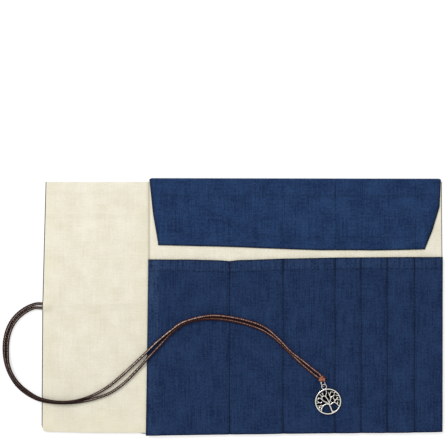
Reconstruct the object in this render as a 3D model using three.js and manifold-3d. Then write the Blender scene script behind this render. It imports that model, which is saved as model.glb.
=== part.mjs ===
// A roll-up brush case, laid open flat with its flap closed and its tie cord lying loose across it.
//
// Frame: origin at the middle of the underside of the open case, +X along the case towards the
// narrow pockets, +Y towards the flap, +Z up. All lengths are millimetres.
//
// The case is cloth, so it is divided across its length into strips of one narrow pocket's width.
// Each strip hinges on the one before it, which is how the case rolls up towards its plain end.
// A strip is a stack of layers: outer cover, lining, pocket front and flap.

import * as THREE from 'three';
import { mergeVertices } from 'three/addons/utils/BufferGeometryUtils.js';
import Module from 'manifold-3d';

const wasm = await Module();
wasm.setup();

// ---------------------------------------------------------------- driving dimensions
const STRIP_WIDTH = 20.7;
const STRIP_COUNT = 15;
const FIRST_POCKET_STRIP = 5;
const CASE_LENGTH = STRIP_WIDTH * STRIP_COUNT;
const CASE_BOTTOM = -99;
const CASE_TOP = 99;
const CLOTH_GAP = 0.3;

// Heights of each layer's underside and upper side above the table.
const COVER_Z = [0, 0.7];
const LINING_Z = [0.8, 1.3];
const POCKET_Z = [1.4, 2.0];
const FLAP_Z = [1.4, 2.3];

// The cover stops short of the rolled fold that joins the flap to it.
const PANEL_TOP = 96.2;
const LINING_INSET = 0.5;
const POCKET_BOTTOM = -98.4;
const POCKET_TOP_LEFT = 35.7;
const POCKET_TOP_RIGHT = 37.8;

// The flap's fold is a bead along the top edge. The flap narrows towards its hem.
const FOLD_RADIUS = 1.15;
const FOLD_SIDES = 12;
const FLAP_HEM_LEFT = [-65.5, 47.4];
const FLAP_HEM_MIDDLE = [60.4, 43.3];
const FLAP_HEM_RIGHT = [141.2, 43.8];
const FLAP_SHOULDER_RIGHT = [153.6, 77.7];
const FLAP_TOP_LEFT_X = -72.2;
const FLAP_TOP_RIGHT_X = 154.4;

// Tie cord: two strands side by side, each from the plain end's edge to the knot.
const CORD_RADIUS = 1.05;
const CORD_SIDES = 8;
const CORD_STEPS = 40;

// Charm: a ring with an open tree in it, and an eye on its rim.
const CHARM_CENTRE = [66.5, -73.9];
const CHARM_RADIUS = 10.45;
const CHARM_RIM = 1.4;
const CHARM_THICKNESS = 1.4;
const CHARM_TILT = THREE.MathUtils.degToRad(3);
const EYE_DISTANCE = 12;
const EYE_OUTER = 2.35;
const EYE_INNER = 1.45;
const EYE_THICKNESS = 1.0;
const EYE_HEIGHT = 4.25;

const KNOT_CENTRE = [61.6, -56.3, 4.3];
const KNOT_RADII = [2.5, 2.7, 2.0];
const RING_RADIUS = 2.2;
const RING_WIRE_RADIUS = 0.35;
const RING_DISTANCE = 3.9;
const RING_LEAN = THREE.MathUtils.degToRad(45);
const RING_CHANNEL_RADIUS = 0.7;

// ---------------------------------------------------------------- materials
function cloth(colour, roughness) {
  return new THREE.MeshStandardMaterial({ color: colour, roughness, metalness: 0 });
}

const checkCloth = cloth(0x39435c, 0.9);
const creamCloth = cloth(0xe9e4d2, 0.92);
const navyCloth = cloth(0x22355c, 0.9);
const waxedCord = cloth(0x4a3026, 0.6);
const agedSilver = new THREE.MeshStandardMaterial({ color: 0xb9b7b0, roughness: 0.35, metalness: 1 });

// ---------------------------------------------------------------- helpers
const brushRollCase = new THREE.Group();

function addPiece(name, geometry, material) {
  const mesh = new THREE.Mesh(geometry, material);
  mesh.name = name;
  brushRollCase.add(mesh);
  return mesh;
}

// A flat piece of even thickness: an outline in X and Y, from z = bottom to z = top.
function slab(outline, [bottom, top]) {
  const shape = new THREE.Shape(outline.map(([x, y]) => new THREE.Vector2(x, y)));
  const geometry = new THREE.ExtrudeGeometry(shape, { depth: top - bottom, bevelEnabled: false });
  geometry.translate(0, 0, bottom);
  return geometry;
}

function toSolid(geometry) {
  const plain = geometry.clone();
  plain.deleteAttribute('normal');
  plain.deleteAttribute('uv');
  const merged = mergeVertices(plain, 1e-4);
  return new wasm.Manifold(new wasm.Mesh({
    numProp: 3,
    vertProperties: new Float32Array(merged.attributes.position.array),
    triVerts: new Uint32Array(merged.index.array),
  }));
}

function toGeometry(solid) {
  const mesh = solid.getMesh();
  const geometry = new THREE.BufferGeometry();
  geometry.setAttribute('position', new THREE.BufferAttribute(mesh.vertProperties, 3));
  geometry.setIndex(new THREE.BufferAttribute(mesh.triVerts, 1));
  geometry.computeVertexNormals();
  return geometry;
}

function join(geometries) {
  const solids = geometries.map(toSolid);
  return toGeometry(solids.reduce((whole, piece) => whole.add(piece)));
}

function twoDigits(number) {
  return String(number).padStart(2, '0');
}

// ---------------------------------------------------------------- strips of cloth
// The left and right side of one strip, with half of the cloth gap left free at each hinge.
function stripSides(strip) {
  const left = -CASE_LENGTH / 2 + STRIP_WIDTH * (strip - 1);
  const freeLeft = strip === 1 ? 0 : CLOTH_GAP / 2;
  const freeRight = strip === STRIP_COUNT ? 0 : CLOTH_GAP / 2;
  return [left + freeLeft, left + STRIP_WIDTH - freeRight];
}

function rectangle([left, right], bottom, top) {
  return [[left, bottom], [right, bottom], [right, top], [left, top]];
}

function addCover(strip) {
  const outline = rectangle(stripSides(strip), CASE_BOTTOM, PANEL_TOP);
  addPiece(`outer_cover_${twoDigits(strip)}`, slab(outline, COVER_Z), checkCloth);
}

function addLining(strip) {
  const [left, right] = stripSides(strip);
  const insetLeft = strip === 1 ? LINING_INSET : 0;
  const insetRight = strip === STRIP_COUNT ? LINING_INSET : 0;
  const sides = [left + insetLeft, right - insetRight];
  const outline = rectangle(sides, CASE_BOTTOM + LINING_INSET, PANEL_TOP - LINING_INSET);
  const panel = strip < FIRST_POCKET_STRIP ? 'left_lining' : 'right_lining';
  addPiece(`${panel}_${twoDigits(strip)}`, slab(outline, LINING_Z), creamCloth);
}

function between([x0, y0], [x1, y1], x) {
  return y0 + (y1 - y0) * (x - x0) / (x1 - x0);
}

function addPocketFront(strip) {
  const [left, right] = stripSides(strip);
  const hemLeft = [-CASE_LENGTH / 2 + STRIP_WIDTH * (FIRST_POCKET_STRIP - 1), POCKET_TOP_LEFT];
  const hemRight = [CASE_LENGTH / 2, POCKET_TOP_RIGHT];
  const outline = [
    [left, POCKET_BOTTOM],
    [right, POCKET_BOTTOM],
    [right, between(hemLeft, hemRight, right)],
    [left, between(hemLeft, hemRight, left)],
  ];
  addPiece(`pocket_front_${twoDigits(strip)}`, slab(outline, POCKET_Z), navyCloth);
}

// ---------------------------------------------------------------- flap
function flapHem(x) {
  if (x < FLAP_HEM_MIDDLE[0]) {
    return between(FLAP_HEM_LEFT, FLAP_HEM_MIDDLE, x);
  }
  return between(FLAP_HEM_MIDDLE, FLAP_HEM_RIGHT, x);
}

// The part of the flap that lies on one strip, in X and Y, with the flap's slanted ends.
function flapOutline(strip, foldY) {
  const [left, right] = stripSides(strip);
  if (strip === FIRST_POCKET_STRIP) {
    return [FLAP_HEM_LEFT, [right, flapHem(right)], [right, foldY], [FLAP_TOP_LEFT_X, foldY]];
  }
  if (strip === STRIP_COUNT) {
    return [
      [left, flapHem(left)],
      FLAP_HEM_RIGHT,
      FLAP_SHOULDER_RIGHT,
      [FLAP_TOP_RIGHT_X, foldY],
      [left, foldY],
    ];
  }
  return [[left, flapHem(left)], [right, flapHem(right)], [right, foldY], [left, foldY]];
}

// A round bead along X, centred on the line that the flap turns about.
function foldBead(left, right, foldY) {
  const section = new THREE.Shape();
  section.absarc(0, 0, FOLD_RADIUS, 0, 2 * Math.PI);
  const geometry = new THREE.ExtrudeGeometry(section, {
    depth: right - left,
    bevelEnabled: false,
    curveSegments: FOLD_SIDES,
  });
  geometry.rotateY(Math.PI / 2);
  geometry.translate(left, foldY, FOLD_RADIUS);
  return geometry;
}

function addFlap(strip) {
  const foldY = CASE_TOP - FOLD_RADIUS;
  const [left, right] = stripSides(strip);
  const beadLeft = Math.max(left, FLAP_TOP_LEFT_X);
  const beadRight = Math.min(right, FLAP_TOP_RIGHT_X);
  const plate = slab(flapOutline(strip, foldY), FLAP_Z);
  const geometry = join([plate, foldBead(beadLeft, beadRight, foldY)]);
  addPiece(`flap_${twoDigits(strip)}`, geometry, navyCloth);
}

for (let strip = 1; strip <= STRIP_COUNT; strip += 1) {
  addCover(strip);
  addLining(strip);
  if (strip >= FIRST_POCKET_STRIP) {
    addPocketFront(strip);
    addFlap(strip);
  }
}

// ---------------------------------------------------------------- tie cord
// Each strand leaves the middle of the plain end's edge, loops round on the table, climbs onto
// the lining and then the pockets, and ends in the knot. The inner strand rides up on the outer
// one where the pair is twisted.
const OUTER_STRAND = [
  [-155.7, 1.6, 1.5], [-160, 1.6, 1.5], [-166, -0.4, 1.5], [-172, -4, 1.5],
  [-177.5, -9.2, 1.5], [-182, -16.5, 1.5], [-184.6, -25.5, 1.5], [-185.2, -35, 1.5],
  [-184, -44, 1.5], [-180.8, -53, 1.5], [-175.4, -61.5, 1.5], [-168, -68, 1.6],
  [-159, -72.4, 2.6], [-147, -74.8, 2.9], [-136, -75.2, 2.8], [-125, -74.2, 2.8],
  [-113, -71.4, 2.8], [-102, -67, 2.8], [-92, -60, 2.8], [-82, -50, 3.0],
  [-73, -40, 3.6], [-64, -30.4, 3.5], [-55, -20.8, 3.5], [-46, -14, 3.5],
  [-36, -10.6, 3.5], [-24, -9.6, 3.5], [-10, -10.9, 3.5], [4, -14.2, 3.5],
  [16, -18.8, 3.5], [26, -25.6, 3.5], [36, -35.4, 3.5], [46, -44.8, 3.5],
  [53, -50.8, 3.6], [58.4, -55, 3.9],
];
const INNER_STRAND = [
  [-155.7, -1.6, 1.5], [-160, -1.6, 1.5], [-165.4, -3.2, 1.5], [-170.4, -6.4, 1.5],
  [-174.9, -11, 1.6], [-178.8, -17.6, 1.6], [-181.8, -26.4, 1.6], [-182.5, -35, 1.8],
  [-182, -43.4, 2.9], [-179.4, -51.6, 3.4], [-174.2, -59.6, 3.4], [-167, -66, 3.6],
  [-158, -71, 4.6], [-147, -73.6, 5.0], [-136, -74.1, 5.0], [-126, -72.6, 4.4],
  [-115, -68.8, 3.0], [-104, -62.4, 2.8], [-94, -54.2, 2.8], [-84, -45, 3.0],
  [-75, -36.4, 3.6], [-66, -27.6, 3.7], [-57, -20, 5.3], [-47.4, -13, 5.7],
  [-36.5, -9.2, 5.5], [-24, -7.2, 4.2], [-10, -8.3, 3.6], [5, -11.6, 3.6],
  [17.4, -16.4, 4.2], [27.4, -24.6, 5.6], [37, -34.6, 5.4], [47.6, -43, 3.9],
  [55, -49, 3.8], [60, -53, 4.4],
];

function octagon(radius) {
  const corners = [];
  for (let side = 0; side < CORD_SIDES; side += 1) {
    const angle = 2 * Math.PI * side / CORD_SIDES;
    corners.push(new THREE.Vector2(radius * Math.cos(angle), radius * Math.sin(angle)));
  }
  return new THREE.Shape(corners);
}

function addStrand(name, points) {
  const route = new THREE.CatmullRomCurve3(points.map(([x, y, z]) => new THREE.Vector3(x, y, z)));
  const geometry = new THREE.ExtrudeGeometry(octagon(CORD_RADIUS), {
    steps: CORD_STEPS,
    extrudePath: route,
  });
  addPiece(name, geometry, waxedCord);
}

addStrand('tie_cord_outer', OUTER_STRAND);
addStrand('tie_cord_inner', INNER_STRAND);

// ---------------------------------------------------------------- knot, ring and charm
// The direction from the charm up to the knot, turned from +Y.
const heading = Math.atan2(
  CHARM_CENTRE[0] - KNOT_CENTRE[0],
  KNOT_CENTRE[1] - CHARM_CENTRE[1],
);

// A point on the line from the knot to the charm.
function alongCharmLine(distance, z) {
  return new THREE.Vector3(
    KNOT_CENTRE[0] + distance * Math.sin(heading),
    KNOT_CENTRE[1] - distance * Math.cos(heading),
    z,
  );
}

// The ring leans over on its side, and the line from the knot to the charm lies in its plane.
function ringTorus(wireRadius) {
  const torus = new THREE.TorusGeometry(RING_RADIUS, wireRadius, 8, 28);
  const place = new THREE.Object3D();
  place.position.copy(alongCharmLine(RING_DISTANCE, EYE_HEIGHT));
  place.rotation.set(0, RING_LEAN, heading, 'ZYX');
  place.updateMatrix();
  torus.applyMatrix4(place.matrix);
  return torus;
}

function addKnot() {
  const ball = new THREE.SphereGeometry(1, 20, 12);
  ball.scale(KNOT_RADII[0], KNOT_RADII[1], KNOT_RADII[2]);
  ball.rotateZ(heading);
  ball.translate(KNOT_CENTRE[0], KNOT_CENTRE[1], KNOT_CENTRE[2]);
  const channel = toSolid(ringTorus(RING_CHANNEL_RADIUS));
  addPiece('cord_knot', toGeometry(toSolid(ball).subtract(channel)), waxedCord);
}

addKnot();
addPiece('jump_ring', ringTorus(RING_WIRE_RADIUS), agedSilver);

// A flat ring in X and Y, centred on (0, y), of even thickness about z = 0.
function flatRing(y, outer, inner, thickness, segments) {
  const shape = new THREE.Shape();
  shape.absarc(0, y, outer, 0, 2 * Math.PI);
  const hole = new THREE.Path();
  hole.absarc(0, y, inner, 0, 2 * Math.PI, true);
  shape.holes.push(hole);
  const geometry = new THREE.ExtrudeGeometry(shape, {
    depth: thickness,
    bevelEnabled: false,
    curveSegments: segments,
  });
  geometry.translate(0, 0, -thickness / 2);
  return geometry;
}

// A straight limb of the tree, from one point to another, narrowing along its length.
function limb([x0, y0], [x1, y1], startWidth, endWidth) {
  const along = new THREE.Vector2(x1 - x0, y1 - y0).normalize();
  const side = new THREE.Vector2(-along.y, along.x);
  const half = CHARM_THICKNESS / 2 - 0.1;
  const outline = [
    [x0 - side.x * startWidth / 2, y0 - side.y * startWidth / 2],
    [x1 - side.x * endWidth / 2, y1 - side.y * endWidth / 2],
    [x1 + side.x * endWidth / 2, y1 + side.y * endWidth / 2],
    [x0 + side.x * startWidth / 2, y0 + side.y * startWidth / 2],
  ];
  return slab(outline, [-half, half]);
}

function addCharm() {
  const reach = CHARM_RADIUS - CHARM_RIM / 2;
  const fork = [0, -1.5];
  const pieces = [
    flatRing(0, CHARM_RADIUS, CHARM_RADIUS - CHARM_RIM, CHARM_THICKNESS, 48),
    flatRing(EYE_DISTANCE, EYE_OUTER, EYE_INNER, EYE_THICKNESS, 24),
    limb([-2.6, -reach + 0.4], fork, 1.2, 1.6),
    limb([2.6, -reach + 0.4], fork, 1.2, 1.6),
  ];
  const branchAngles = [-75, -45, -15, 15, 45, 75];
  for (const degrees of branchAngles) {
    const angle = THREE.MathUtils.degToRad(degrees);
    const tip = [reach * Math.sin(angle), reach * Math.cos(angle)];
    pieces.push(limb(fork, tip, 1.3, 0.8));
  }
  const charm = addPiece('charm', join(pieces), agedSilver);
  const drop = EYE_DISTANCE * Math.sin(CHARM_TILT);
  charm.position.set(CHARM_CENTRE[0], CHARM_CENTRE[1], EYE_HEIGHT - drop);
  charm.rotation.set(CHARM_TILT, 0, heading, 'ZXY');
}

addCharm();

export default brushRollCase;
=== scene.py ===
import math

import bpy
import numpy as np
from mathutils import Matrix, Vector


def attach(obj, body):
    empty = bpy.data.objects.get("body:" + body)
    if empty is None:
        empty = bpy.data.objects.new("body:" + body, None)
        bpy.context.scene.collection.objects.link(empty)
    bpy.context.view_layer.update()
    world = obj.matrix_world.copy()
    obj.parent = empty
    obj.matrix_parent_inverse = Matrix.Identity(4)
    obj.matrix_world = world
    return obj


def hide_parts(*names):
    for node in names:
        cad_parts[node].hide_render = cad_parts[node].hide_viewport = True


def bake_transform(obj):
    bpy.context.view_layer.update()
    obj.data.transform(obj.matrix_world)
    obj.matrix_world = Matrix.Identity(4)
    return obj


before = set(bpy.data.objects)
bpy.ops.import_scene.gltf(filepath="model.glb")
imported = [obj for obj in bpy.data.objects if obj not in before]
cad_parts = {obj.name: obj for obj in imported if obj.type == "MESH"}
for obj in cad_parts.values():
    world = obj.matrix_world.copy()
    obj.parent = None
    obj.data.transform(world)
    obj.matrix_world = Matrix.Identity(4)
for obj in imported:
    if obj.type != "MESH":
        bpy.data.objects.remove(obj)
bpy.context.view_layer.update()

# All lengths are millimetres, and become metres where a mesh is made.
MM = 0.001

STRIP_WIDTH = 20.7
STRIP_COUNT = 15
# Cloth piece k runs from the middle of strip k to the middle of strip k + 1. The pockets and the
# flap start at the seam between the linings, on piece FIRST.
FIRST, LAST = 4, STRIP_COUNT - 1
CASE_LEFT = -155.25
LINING_SEAM_X = -72.45
FOLD_Y, FOLD_Z, FOLD_RADIUS = 97.85, 1.15, 1.15
FLAP_TOP_Z = 2.3
LINING_FRAME_TOP, POCKET_FRAME_TOP = 1.3, 2.0
# Heights of the lower and upper faces of the cover and the lining, where they have no relief.
COVER_LOW, COVER_HIGH, LINING_LOW, LINING_HIGH = 0.05, 0.58, 0.72, 1.22
POCKET_LEFT_X = -74
DIVIDERS = (-9.9, 31.7, 72.1, 92.3, 112.5, 133.8)
CHARM_CENTRE = (66.5, -73.9)
CHARM_TILT = math.radians(3)
EYE_DISTANCE, EYE_HEIGHT = 12, 4.25
KNOT_CENTRE = (61.6, -56.3, 4.3)
RING_DISTANCE, RING_RADIUS, RING_WIRE = 3.9, 2.2, 0.27
RING_LEAN = math.radians(45)
HEADING = math.atan2(CHARM_CENTRE[0] - KNOT_CENTRE[0], KNOT_CENTRE[1] - CHARM_CENTRE[1])


# ---------------------------------------------------------------- camera
PICTURE_CENTRE = (-14.2, 63.7)
PICTURE_WIDTH = 348.1
LENS, SENSOR = 85, 36

camera_data = bpy.data.cameras.new("camera")
camera_data.lens, camera_data.sensor_width = LENS, SENSOR
camera_data.clip_start, camera_data.clip_end = 0.05, 20
camera = bpy.data.objects.new("camera", camera_data)
camera.location = Vector((*PICTURE_CENTRE, PICTURE_WIDTH * LENS / SENSOR + 2)) * MM
bpy.context.scene.collection.objects.link(camera)
bpy.context.scene.camera = camera


# ---------------------------------------------------------------- shape helpers
def step(low, high, x):
    """0 below low, 1 above high, and smooth between."""
    t = np.clip((np.asarray(x, float) - low) / (high - low), 0, 1)
    return t * t * (3 - 2 * t)


def bell(x, middle, width):
    """1 at the middle, falling away smoothly on both sides."""
    return np.exp(-(((np.asarray(x, float) - middle) / width) ** 2))


def soft_noise(x, y, cell_x, cell_y, seed):
    """Smooth noise from 0 to 1, with a given size of cell across and along."""
    grid = np.random.default_rng(seed).random((64, 64))
    u, v = np.asarray(x, float) / cell_x + 100.3, np.asarray(y, float) / cell_y + 100.7
    i, j = np.floor(u).astype(int), np.floor(v).astype(int)
    s, t = u - i, v - j
    s, t = s * s * s * (s * (6 * s - 15) + 10), t * t * t * (t * (6 * t - 15) + 10)
    i, j, i1, j1 = i % 64, j % 64, (i + 1) % 64, (j + 1) % 64
    low = grid[i, j] * (1 - s) + grid[i1, j] * s
    high = grid[i, j1] * (1 - s) + grid[i1, j1] * s
    return low * (1 - t) + high * t


def edge_through(*places, stray=0.0, cell=1.0, seed=0):
    """An edge of the cloth through a few places, as a function from one coordinate to the other. It
    strays smoothly from their line, by up to half of stray, with a given size of cell."""
    at, across = np.array(places).T

    def edge(along):
        line = np.interp(along, at, across)
        return line + stray * (soft_noise(along, 0 * along, cell, 9, seed) - 0.5) if stray else line

    return edge


def add_field(mesh, name, values):
    """A number for every point of the mesh, which its material can read."""
    mesh.attributes.new(name, "FLOAT", "POINT").data.foreach_set("value", np.asarray(values, np.float32))


def new_object(name, points, faces, material, uv=None, normals=None, sharp=None, **fields):
    """A mesh object from points in millimetres. Each of fields is a number for every point."""
    mesh = bpy.data.meshes.new(name)
    mesh.from_pydata((np.asarray(points, float) * MM).tolist(), [], [list(map(int, f)) for f in faces])
    mesh.materials.append(material)
    mesh.polygons.foreach_set("use_smooth", [True] * len(mesh.polygons))
    if uv is not None:
        corner = np.zeros(len(mesh.loops), np.int32)
        mesh.loops.foreach_get("vertex_index", corner)
        layer = mesh.uv_layers.new(name="UVMap")
        layer.data.foreach_set("uv", np.asarray(uv, np.float32)[corner].ravel())
    for field, values in fields.items():
        add_field(mesh, field, values)
    mesh.update()
    if sharp is not None:
        ends = np.zeros(len(mesh.edges) * 2, np.int32)
        mesh.edges.foreach_get("vertices", ends)
        ends = ends.reshape(-1, 2)
        mesh.edges.foreach_set("use_edge_sharp", sharp[ends[:, 0]] & sharp[ends[:, 1]])
    if normals is not None:
        mesh.normals_split_custom_set_from_vertices(normals.tolist())
    made = bpy.data.objects.new(name, mesh)
    bpy.context.scene.collection.objects.link(made)
    return made


# ---------------------------------------------------------------- where the cloth lies
def calm(x, y):
    """Less relief under the flap, so that it also lies flat when it is open."""
    return 1 - 0.85 * step(-84, -73, x) * step(34, 46, y)


def pressed(x, y):
    """Less relief where the charm and the knot press on the cloth."""
    charm = np.hypot(x - CHARM_CENTRE[0], y - CHARM_CENTRE[1])
    knot = np.hypot(x - KNOT_CENTRE[0], y - KNOT_CENTRE[1])
    return step(9, 20, charm) * step(3, 12, knot)


def ripple(x, y):
    wide = soft_noise(x, y, 46, 38, 11)
    fine = soft_noise(x, y, 19, 23, 12)
    return (0.55 * wide + 0.2 * fine) * calm(x, y) * (0.3 + 0.7 * pressed(x, y))


def cord_bump(x, y):
    """The lining rises over the cord's sewn-in ends."""
    return 1.3 * np.exp(-((np.abs(y) / 3.7) ** 4)) * (1 - step(-153.5, -146, x))


def cover_under(x, y):
    return COVER_LOW + ripple(x, y)


def cover_over(x, y):
    return COVER_HIGH + ripple(x, y)


def lining_under(x, y):
    return LINING_LOW + ripple(x, y) + cord_bump(x, y)


def on_plain_end(x):
    """1 on the plain end, 0 from the pockets on, and smooth between."""
    return 1 - step(-84, -76, x)


def seam_dip(x):
    """How far the lining is pulled down along the seam between its two halves."""
    return 0.28 * bell(x, LINING_SEAM_X, 0.9)


def lining_over(x, y):
    own = 0.38 * soft_noise(x, y, 30, 17, 13) + 0.14 * soft_noise(x, y, 11, 9, 14)
    creases = 0.16 * bell(y, 1 + 0.02 * x, 1.6) - 0.14 * bell(y, -2.5 + 0.02 * x, 1.8)
    creases = creases + 0.13 * bell(y, 70, 1.4) + 0.10 * bell(y, 89, 1.5)
    folds = own * calm(x, y) * (0.15 + 0.85 * pressed(x, y)) + creases * on_plain_end(x)
    return LINING_HIGH + ripple(x, y) + cord_bump(x, y) + folds - seam_dip(x)


pocket_top = edge_through(
    (-75, 36.4), (-45, 36.2), (-16, 35.5), (-9.9, 34.9), (-4, 35.7), (31.7, 37.0), (72, 37.7), (155, 38.2),
    stray=0.3, cell=26, seed=15,
)


def seam_wander(y):
    """How far the divider seams stray from straight."""
    return 0.35 * (soft_noise(0.0, y, 9, 40, 16) - 0.5)


def seam_distance(x, y, seams=DIVIDERS):
    return np.min([np.abs(x - seam - seam_wander(y)) for seam in seams], axis=0)


def pocket_puff(x, y):
    """The pocket front stands up between its seams, and is pulled down along them."""
    nearest = seam_distance(x, y, (-73.6, *DIVIDERS, 155.4))
    rise = 0.04 + 0.30 * (1 - bell(nearest, 0, 0.75)) + 0.26 * (1 - bell(nearest, 0, 3.2))
    waves = 0.42 * soft_noise(x, y, 8, 48, 17) + 0.2 * soft_noise(x, y, 26, 15, 18)
    waves = waves * (1 - 0.85 * bell(nearest, 0, 3.5))
    mouth = 0.35 * step(18, 36, y) * (1 - bell(nearest, 0, 6))
    slant = (y + 48.2) - (x + 8.7) * 0.136
    crease = 0.16 * bell(slant, 0, 0.9) * step(-12, -7, x) * (1 - step(14, 22, x))
    bottom = -0.3 * (1 - step(-100, -96, y))
    return (rise + waves + mouth) * (0.12 + 0.88 * pressed(x, y)) + crease + bottom


def pocket_under(x, y):
    return lining_over(x, y) + seam_dip(x) + 0.06 + np.maximum(pocket_puff(x, y), 0)


def pocket_over(x, y):
    below = pocket_top(x) - y
    hem = 0.16 * (1 - step(8.2, 9.6, below))
    side = 0.14 * (1 - step(7.5, 9.2, x - POCKET_LEFT_X))
    return pocket_under(x, y) + 0.5 + np.maximum(hem, side)


def flap_under(x, y):
    resting = lining_over(x, y) + 0.1
    return resting + (1.52 - resting) * step(91, 96.5, y)


flap_left = edge_through((47.4, -65.5), (69.9, -69.3), (FOLD_Y, -72.2))
flap_right = edge_through((43.8, 141.2), (60, 147.9), (77.7, 153.4), (FOLD_Y, 154.4))
flap_hem = edge_through(
    (-65.5, 47.4), (-30, 46.4), (60.4, 43.4), (100, 43.2), (141.2, 43.9), stray=0.5, cell=31, seed=19,
)


def flap_inset(x, y):
    """How far inside the flap's nearest edge, apart from the fold, a place is."""
    return np.minimum(np.minimum(x - flap_left(y), flap_right(y) - x), y - flap_hem(x))


def flap_over(x, y):
    inside = flap_inset(x, y)
    allowance = 0.13 * (1 - step(9.2, 10.8, inside)) + 0.10 * step(84.6, 86.2, y)
    mottle = 0.14 * soft_noise(x, y, 15, 12, 20)
    roll = 0.1 * (1 - step(0.8, 3.5, inside))
    flat = flap_under(x, y) + 0.52 + allowance + mottle + roll
    return flat + (FLAP_TOP_Z - 0.03 - flat) * step(91, 97, y)


# ---------------------------------------------------------------- cords
# Each strand's route from the plain end's edge to the knot.
OUTER_STRAND = (
    (-155.7, 1.6, 1.5), (-160, 1.6, 1.5), (-166, -0.4, 1.5), (-172, -4, 1.5),
    (-177.5, -9.2, 1.5), (-182, -16.5, 1.5), (-184.6, -25.5, 1.5), (-185.2, -35, 1.5),
    (-184, -44, 1.5), (-180.8, -53, 1.5), (-175.4, -61.5, 1.5), (-168, -68, 1.6),
    (-159, -72.4, 2.6), (-147, -74.8, 2.9), (-136, -75.2, 2.8), (-125, -74.2, 2.8),
    (-113, -71.4, 2.8), (-102, -67, 2.8), (-92, -60, 2.8), (-82, -50, 3.0),
    (-73, -40, 3.6), (-64, -30.4, 3.5), (-55, -20.8, 3.5), (-46, -14, 3.5),
    (-36, -10.6, 3.5), (-24, -9.6, 3.5), (-10, -10.9, 3.5), (4, -14.2, 3.5),
    (16, -18.8, 3.5), (26, -25.6, 3.5), (36, -35.4, 3.5), (46, -44.8, 3.5),
    (53, -50.8, 3.6), (58.4, -55, 3.9),
)
INNER_STRAND = (
    (-155.7, -1.6, 1.5), (-160, -1.6, 1.5), (-165.4, -3.2, 1.5), (-170.4, -6.4, 1.5),
    (-174.9, -11, 1.6), (-178.8, -17.6, 1.6), (-181.8, -26.4, 1.6), (-182.5, -35, 1.8),
    (-182, -43.4, 2.9), (-179.4, -51.6, 3.4), (-174.2, -59.6, 3.4), (-167, -66, 3.6),
    (-158, -71, 4.6), (-147, -73.6, 5.0), (-136, -74.1, 5.0), (-126, -72.6, 4.4),
    (-115, -68.8, 3.0), (-104, -62.4, 2.8), (-94, -54.2, 2.8), (-84, -45, 3.0),
    (-75, -36.4, 3.6), (-66, -27.6, 3.7), (-57, -20, 5.3), (-47.4, -13, 5.7),
    (-36.5, -9.2, 5.5), (-24, -7.2, 4.2), (-10, -8.3, 3.6), (5, -11.6, 3.6),
    (17.4, -16.4, 4.2), (27.4, -24.6, 5.6), (37, -34.6, 5.4), (47.6, -43, 3.9),
    (55, -49, 3.8), (60, -53, 4.4),
)
CORD_RADIUS = 1.02
CORD_SIDES = 20
ROUGH_STEP, CORD_STEP = 0.5, 0.34
PLAIT = 1.9
SEWN_IN = 3.2


def curve_through(points, count=24):
    """Points along one smooth curve that passes through all the given ones."""
    p = np.array(points, float)
    p = np.vstack([2 * p[0] - p[1], p, 2 * p[-1] - p[-2]])
    made = []
    for a, b, c, d in zip(p, p[1:], p[2:], p[3:]):
        gaps = [math.sqrt(np.linalg.norm(end - start)) for start, end in ((a, b), (b, c), (c, d))]
        t0, t1, t2, t3 = np.cumsum([0, *gaps])
        t = np.linspace(t1, t2, count, endpoint=False)[:, None]

        def between(before, after, start, end):
            return (end - t) / (end - start) * before + (t - start) / (end - start) * after

        ab, bc, cd = between(a, b, t0, t1), between(b, c, t1, t2), between(c, d, t2, t3)
        made.append(between(between(ab, bc, t0, t2), between(bc, cd, t1, t3), t1, t2))
    return np.vstack([*made, p[-2][None]])


def evenly(line, spacing):
    """(points about spacing apart along the line, how far along each is)."""
    along = np.concatenate([[0], np.cumsum(np.linalg.norm(np.diff(line, axis=0), axis=1))])
    at = np.linspace(0, along[-1], max(2, round(along[-1] / spacing) + 1))
    return np.stack([np.interp(at, along, line[:, k]) for k in range(3)], axis=1), at


def turns(sides):
    """Angles all the way round, one for each side of a tube."""
    return np.arange(sides) * 2 * math.pi / sides


def frames_along(line, closed):
    """Two directions across the line at each point, the second as near to up as can be."""
    ahead = np.roll(line, -1, axis=0) - np.roll(line, 1, axis=0) if closed else np.gradient(line, axis=0)
    ahead /= np.linalg.norm(ahead, axis=1)[:, None]
    side = np.cross(np.array([0.0, 0, 1]), ahead)
    side /= np.linalg.norm(side, axis=1)[:, None]
    return side, np.cross(ahead, side)


def ring_faces(count, sides, closed=False, start=0):
    """The faces between count rings of points, each with the same number of sides."""
    faces = []
    for r in range(count if closed else count - 1):
        a, b = start + r * sides, start + (r + 1) % count * sides
        faces += [(a + s, a + (s + 1) % sides, b + (s + 1) % sides, b + s) for s in range(sides)]
    return faces


def tube(name, line, radius, material, sides=CORD_SIDES, at=None, closed=False, **fields):
    """A tube round the line, with capped ends unless the line is closed. radius is a number, or
    one for each ring and side, and at is how far along the line each ring is."""
    side, up = frames_along(line, closed)
    radius = np.broadcast_to(np.asarray(radius, float), (len(line), sides))[..., None]
    turn = turns(sides)[:, None]
    around = np.cos(turn) * side[:, None] + np.sin(turn) * up[:, None]
    points = (line[:, None] + radius * around).reshape(-1, 3)
    faces = ring_faces(len(line), sides, closed)
    if at is None:
        at = np.arange(len(line)) * np.linalg.norm(np.roll(line, -1, axis=0) - line, axis=1).mean()
    uv = np.stack([np.repeat(at / 10, sides), np.tile(np.arange(sides) / sides, len(line))], axis=1)
    if not closed:
        first, end = len(points), len(points) - sides
        faces += [(first, (s + 1) % sides, s) for s in range(sides)]
        faces += [(first + 1, end + s, end + (s + 1) % sides) for s in range(sides)]
        points = np.vstack([points, line[:1], line[-1:]])
        uv = np.vstack([uv, uv[:1], uv[-1:]])
    return new_object(name, points, faces, material, uv=uv, **fields)


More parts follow.
